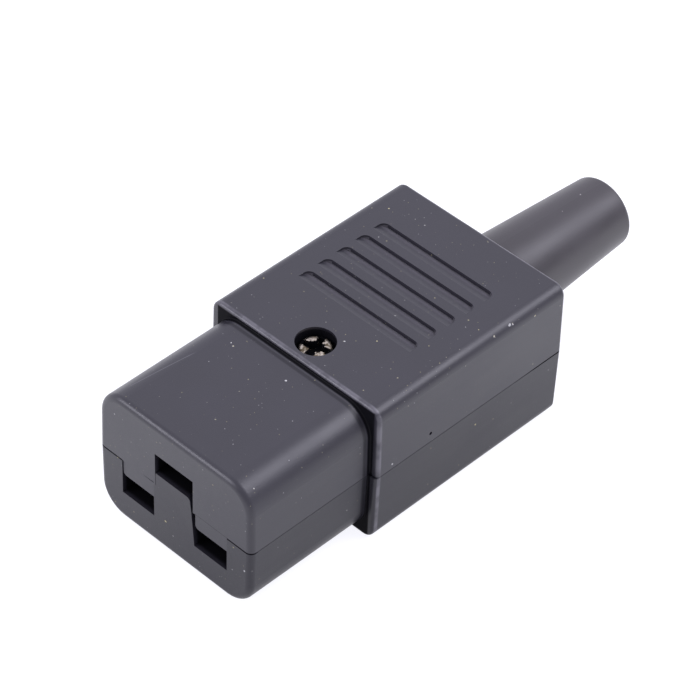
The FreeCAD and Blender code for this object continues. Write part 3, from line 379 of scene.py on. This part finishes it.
def cross_recess(finish, x, y, turn):
    """Mask of painted shade in a turned cross recess about a place on the head and round the head's rim,
    with a ragged noise edge.
    """
    place = finish.axes()
    from_x, from_y = place.part("X") - x, place.part("Y") - y
    cos, sin = math.cos(math.radians(turn)), math.sin(math.radians(turn))
    along = (from_x * cos + from_y * sin).size()
    across = (from_y * cos - from_x * sin).size()
    # noise that makes the edge of the painted shade ragged
    edge_noise = finish.noise(2.2, 3.0).step(0.35, 0.65, -0.12, 0.22)
    arm = along.at_most(across) - edge_noise
    middle = (along + across) * 0.6 - edge_noise
    radius = (along * along + across * across).math("SQRT")
    skirt = radius.over(2.05, 2.2)
    return arm.over(0.56, 0.44).greater_of(middle.over(0.98, 0.86)).greater_of(skirt)


# ---------------------------------------------------------------------------
# Finishes
# ---------------------------------------------------------------------------
def moulded_black(name, shade, gloss):
    """Black moulded polyamide: satin and fine grained, with flow streaks and pale dust, painted highlights
    on the rims, painted light on the groove floors and painted shade where light doesn't reach.
    """
    finish = Finish(name, Specular_IOR_Level=gloss)
    cloud = finish.noise(0.12, 3.0)
    streak = finish.noise(1.0, 4.0, (0.06, 1.0, 1.0))
    tone = [channel * shade for channel in BLACK_TONE]
    base = finish.mix(cloud.over(0.3, 0.7), rgb(*tone), rgb(*[channel * 1.12 for channel in tone]))
    dust = lint_flecks(finish, FLECKS)
    for cell, share, radius, paleness in DUST:
        dust = dust.greater_of(dust_specks(finish, cell, share, radius) * paleness)
    tint = finish.noise(0.9, 0.0)
    pale = finish.mix(tint.over(0.4, 0.6), rgb(0.42, 0.42, 0.42), rgb(0.40, 0.36, 0.20))
    base = finish.mix(dust, base, pale)
    base = finish.mix(line_mark(finish, *SCRATCH) * 0.35, base, rgb(0.20, 0.20, 0.22))
    # painted light: the groove floors are lightened towards their deep end
    base = finish.mix(groove_floor_light(finish), base, rgb(0.105, 0.10, 0.115))
    # painted highlights along the rims at the body's front and rear, patchy
    base = finish.mix(rim_highlights(finish) * 0.8, base, rgb(0.12, 0.115, 0.135))
    grain = finish.noise(9.0, 4.0)
    rough = cloud.step(0.3, 0.7, 0.34, 0.40) + streak.step(0.3, 0.7, -0.01, 0.015) + dust * 0.3
    finish.feed(Base_Color=base, Roughness=rough,
                Normal=finish.bump(grain, 0.012 * MM, finish.bump(streak, 0.002 * MM)))
    # painted shade where light doesn't reach: the shells' inside, the seam, the nose's root and the
    # counterbore
    finish.darken(unlit_places(finish))
    return finish.material


def matte_rubber():
    """Black rubber of the boot: duller than the shells, with a little dust."""
    finish = Finish("matte_rubber", Specular_IOR_Level=0.6)
    cloud = finish.noise(0.15, 3.0)
    base = finish.mix(cloud.over(0.3, 0.7), rgb(0.026, 0.0225, 0.0275), rgb(0.031, 0.027, 0.0325))
    base = finish.mix(dust_specks(finish, 2.4, 0.08, 0.08), base, rgb(0.3, 0.28, 0.28))
    grain = finish.noise(7.0, 3.0)
    finish.feed(Base_Color=base, Roughness=cloud.step(0.3, 0.7, 0.36, 0.43),
                Normal=finish.bump(grain, 0.008 * MM))
    return finish.material


def dull_nickel(name, cross=None):
    """Soiled nickel plate of the screws and the nut, with painted shade in a cross recess and round the
    head's rim where one is given.
    """
    finish = Finish(name, Metallic=1.0)
    dirt = finish.noise(1.6, 4.0)
    base = finish.mix(dirt.over(0.44, 0.60), rgb(0.46, 0.41, 0.35), rgb(0.13, 0.105, 0.07))
    finish.feed(Base_Color=base, Roughness=dirt.step(0.35, 0.65, 0.32, 0.6),
                Normal=finish.bump(dirt, 0.03 * MM))
    if cross:
        # painted shade in the cross recess and round the head's rim
        finish.darken(cross_recess(finish, *cross))
    return finish.material


def bare_brass():
    """Folded brass sheet of the contacts."""
    finish = Finish("bare_brass", Metallic=1.0)
    stain = finish.noise(0.8, 4.0)
    base = finish.mix(stain.over(0.4, 0.7), rgb(0.72, 0.55, 0.26), rgb(0.45, 0.31, 0.13))
    finish.feed(Base_Color=base, Roughness=stain.step(0.3, 0.7, 0.25, 0.45))
    return finish.material


# ---------------------------------------------------------------------------
# Stage, light and camera
# ---------------------------------------------------------------------------
def make_floor():
    """White floor under the resting face: white to the eye and to gloss, and it keeps a soft shadow."""
    finish = Finish("floor_white", Roughness=0.9, Base_Color=rgb(0.9, 0.9, 0.9))
    rays = finish.node("ShaderNodeLightPath", {}, {})
    glossy = rays.part("Is Glossy Ray")
    seen = rays.greater_of(glossy).greater_of(rays.part("Is Transmission Ray"))
    # what the part's gloss sees: brighter ahead of the face, behind the body and away from the side
    place = finish.axes()
    front = (place.part("X") - place.part("Y")).over(-10.0, 30.0)
    rear = place.part("X").over(-30.0, -75.0)
    away = place.part("Y").over(16.0, 32.0)
    mirrored = front * 0.5 + rear * 0.4 + away * 0.25 - 0.26
    finish.lift(seen * FLOOR_LIFT, FLOOR_TINT, glossy * mirrored + FLOOR_WHITE)
    mesh = bpy.data.meshes.new("floor")
    z = cad_low.z - FLOOR_GAP
    corners = [(-1, -1), (1, -1), (1, 1), (-1, 1)]
    mesh.from_pydata([(x * FLOOR_HALF, y * FLOOR_HALF, z) for x, y in corners], [], [(0, 1, 2, 3)])
    floor = bpy.data.objects.new("floor", mesh)
    floor.data.materials.append(finish.material)
    bpy.context.scene.collection.objects.link(floor)


def make_light():
    """Sky that brightens overhead and behind on the line side, with two soft lamps."""
    world = bpy.data.worlds.new("studio")
    bpy.context.scene.world = world
    world.use_nodes = True
    background = world.node_tree.nodes["Background"]
    background.inputs["Color"].default_value = LIGHT_TINT
    sky = Nodes(world.node_tree)
    place = sky.node("ShaderNodeTexCoord", {}, {}, "Generated")
    strength = 0.0
    for way, start, stop, low, high in SKY:
        along = sky.node("ShaderNodeVectorMath", {"operation": "DOT_PRODUCT"}, [place, way], "Value")
        strength = along.step(start, stop, low, high) + strength
    sky.tree.links.new(strength.socket, background.inputs["Strength"])
    for name, place, aim, extent, power in LAMPS:
        data = bpy.data.lights.new(name, "AREA")
        data.shape = "RECTANGLE"
        data.size, data.size_y = extent
        data.energy = power
        data.color = LIGHT_TINT[:3]
        lamp = bpy.data.objects.new(name, data)
        way = Vector(aim) - Vector(place)
        lamp.matrix_world = Matrix.Translation(place) @ way.to_track_quat("-Z", "Y").to_matrix().to_4x4()
        bpy.context.scene.collection.objects.link(lamp)


def make_camera():
    """Long lens from the front, the neutral side and above."""
    aim = Vector(CAMERA_AIM) * MM
    azimuth, elevation, roll = map(math.radians, (CAMERA_AZIMUTH, CAMERA_ELEVATION, CAMERA_ROLL))
    back = Vector((math.sin(azimuth) * math.cos(elevation), -math.cos(azimuth) * math.cos(elevation),
                   math.sin(elevation)))
    data = bpy.data.cameras.new("camera")
    data.lens = CAMERA_LENS
    data.sensor_width = CAMERA_SENSOR
    data.clip_start = 0.01
    data.clip_end = 10.0
    camera = bpy.data.objects.new("camera", data)
    turn = (-back).to_track_quat("-Z", "Y").to_matrix().to_4x4()
    place = Matrix.Translation(aim + back * CAMERA_DISTANCE * MM)
    camera.matrix_world = place @ turn @ Matrix.Rotation(-roll, 4, "Z")
    bpy.context.scene.collection.objects.link(camera)
    bpy.context.scene.camera = camera


# ---------------------------------------------------------------------------
# Assembly
# ---------------------------------------------------------------------------
finishes = {
    "black_plastic": moulded_black("moulded_upper", 1.0, 0.52),
    "black_rubber": matte_rubber(),
    "contact_brass": bare_brass(),
    "plated_steel": dull_nickel("dull_nickel"),
    "clamp_plastic": moulded_black("moulded_clamp", 0.9, 0.5),
}
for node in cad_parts.values():
    for slot in node.material_slots:
        slot.material = finishes[slot.material.name.split(".")[0]]
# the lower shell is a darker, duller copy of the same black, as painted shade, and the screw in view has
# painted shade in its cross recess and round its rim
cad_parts["lower_shell"].material_slots[0].material = moulded_black("moulded_lower_shaded", 0.8, 0.40)
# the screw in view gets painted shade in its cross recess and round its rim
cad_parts["housing_screw"].material_slots[0].material = dull_nickel(
    "nickel_shaded_cross", (screw_axis.x, screw_axis.y, CROSS_TURN))

make_floor()
make_light()
make_camera()
bpy.context.scene.view_settings.view_transform = "Standard"
